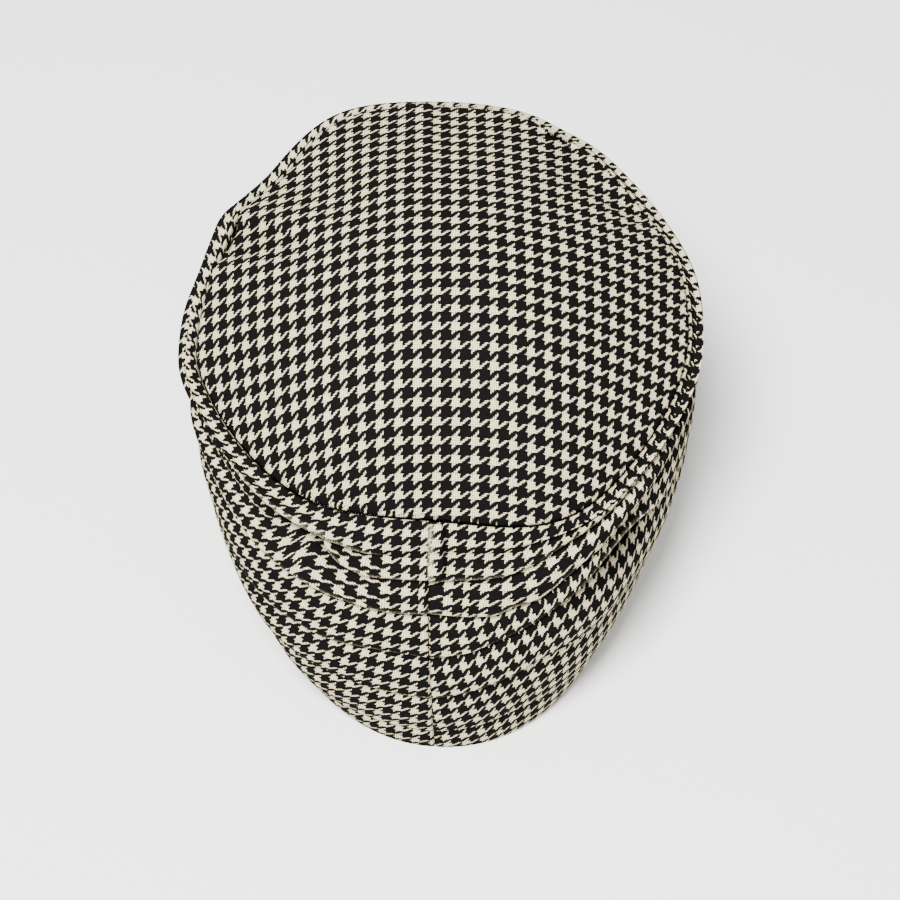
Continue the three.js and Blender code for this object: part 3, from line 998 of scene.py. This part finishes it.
def run_tree(source, tree, values, name):
    """Runs a geometry tree on an object and keeps the result as a plain mesh object."""
    modifier = source.modifiers.new("Stitches", "NODES")
    modifier.node_group = tree
    sockets = {item.name: item.identifier for item in tree.interface.items_tree if item.in_out == "INPUT"}
    for key, value in values.items():
        modifier[sockets[key]] = value
    bpy.context.view_layer.update()
    graph = bpy.context.evaluated_depsgraph_get()
    mesh = bpy.data.meshes.new_from_object(source.evaluated_get(graph))
    mesh.name = name
    bpy.data.objects.remove(source)
    if not mesh.polygons:
        raise RuntimeError(f"{name}: the tree made nothing")
    return new_object(name, mesh)


class TURBAN_OT_hem_stitches(bpy.types.Operator):
    """Sews the row of stitches that holds the turned hem"""

    bl_idname = "turban.hem_stitches"
    bl_label = "Hem Stitches"

    def execute(self, context):
        cloth, sewing = context.scene.turban_cloth, context.scene.turban_sewing
        azimuth = side_azimuths()
        share = along_table(HEM_LINE, azimuth, 1)
        _, per_share, normal = side_frame(azimuth, share)
        lower, _, _ = side_frame(azimuth, share - 0.5 / per_share)
        path = path_object("hem_stitch_path", lower + normal * 0.05)
        values = {
            "Stitch Length": sewing.stitch_length,
            "Stitch Spacing": sewing.stitch_spacing,
            "Thread Radius": sewing.thread_radius,
            "Thread": shared_material("Sewing thread", sewing_thread, cloth),
        }
        obj = run_tree(path, stitch_tree(), values, "hem_stitches")
        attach(obj, "root")
        return {"FINISHED"}


class TURBAN_OT_stage(bpy.types.Operator):
    """Sets the plain floor, the soft studio light and the camera"""

    bl_idname = "turban.stage"
    bl_label = "Stage"

    def execute(self, context):
        stage = context.scene.turban_stage
        mesh = bpy.data.meshes.new("floor")
        corners = [(x * FLOOR_REACH, y * FLOOR_REACH, 0) for x, y in ((-1, -1), (1, -1), (1, 1), (-1, 1))]
        mesh.from_pydata(corners, [], [(0, 1, 2, 3)])
        material, _, shader = start_material("Pale floor", 0.9)
        shader.inputs["Base Color"].default_value = (*stage.floor_colour, 1.0)
        mesh.materials.append(material)
        new_object("floor", mesh)

        world = bpy.data.worlds.new("Studio")
        world.use_nodes = True
        sky = world.node_tree.nodes["Background"]
        sky.inputs[0].default_value = (1.0, 1.0, 1.0, 1.0)
        sky.inputs[1].default_value = stage.fill_strength
        context.scene.world = world
        for name, place, size, share in LIGHTS:
            data = bpy.data.lights.new(name, "AREA")
            data.shape = "DISK"
            data.size = size
            data.energy = stage.key_power * share
            lamp = new_object(name, data)
            lamp.location = place
            aim = Vector(LIT_PLACE) - Vector(place)
            lamp.rotation_euler = aim.to_track_quat("-Z", "Y").to_euler()

        turn, rise = stage.camera_azimuth, stage.camera_elevation
        level = math.cos(rise)
        back = Vector((math.sin(turn) * level, -math.cos(turn) * level, math.sin(rise)))
        data = bpy.data.cameras.new("Camera")
        data.lens = stage.lens
        data.sensor_width = 36.0
        data.shift_x, data.shift_y = LENS_SHIFT
        data.clip_end = 100.0
        camera = new_object("Camera", data)
        camera.location = Vector(CAMERA_TARGET) + back * stage.camera_distance
        camera.rotation_euler = (-back).to_track_quat("-Z", "Y").to_euler()
        context.scene.camera = camera
        return {"FINISHED"}


class TURBAN_PT_maker(bpy.types.Panel):
    """Sizes, colours and pieces of the hat"""

    bl_idname = "TURBAN_PT_maker"
    bl_label = "Turban"
    bl_space_type = "VIEW_3D"
    bl_region_type = "UI"
    bl_category = "Turban"

    def draw(self, context):
        for name, _ in GROUPS:
            group = getattr(context.scene, name)
            box = self.layout.box()
            box.label(text=name.replace("turban_", "").title())
            for key in group.__annotations__:
                box.prop(group, key)
        column = self.layout.column()
        for operator in OPERATORS:
            column.operator(operator.bl_idname)


OPERATORS = (TURBAN_OT_side_panel, TURBAN_OT_crown_tip, TURBAN_OT_hem_stitches, TURBAN_OT_stage)
GROUPS = (
    ("turban_cloth", TURBAN_PG_cloth),
    ("turban_sewing", TURBAN_PG_sewing),
    ("turban_stage", TURBAN_PG_stage),
)


def register():
    for name, group in GROUPS:
        bpy.utils.register_class(group)
        setattr(bpy.types.Scene, name, PointerProperty(type=group))
    for operator in OPERATORS:
        bpy.utils.register_class(operator)
    bpy.utils.register_class(TURBAN_PT_maker)


def unregister():
    bpy.utils.unregister_class(TURBAN_PT_maker)
    for operator in reversed(OPERATORS):
        bpy.utils.unregister_class(operator)
    for name, group in reversed(GROUPS):
        delattr(bpy.types.Scene, name)
        bpy.utils.unregister_class(group)


def main():
    register()
    bpy.ops.turban.side_panel()
    bpy.ops.turban.crown_tip()
    bpy.ops.turban.hem_stitches()
    bpy.ops.turban.stage()
    bpy.context.view_layer.update()


if __name__ == "__main__":
    main()
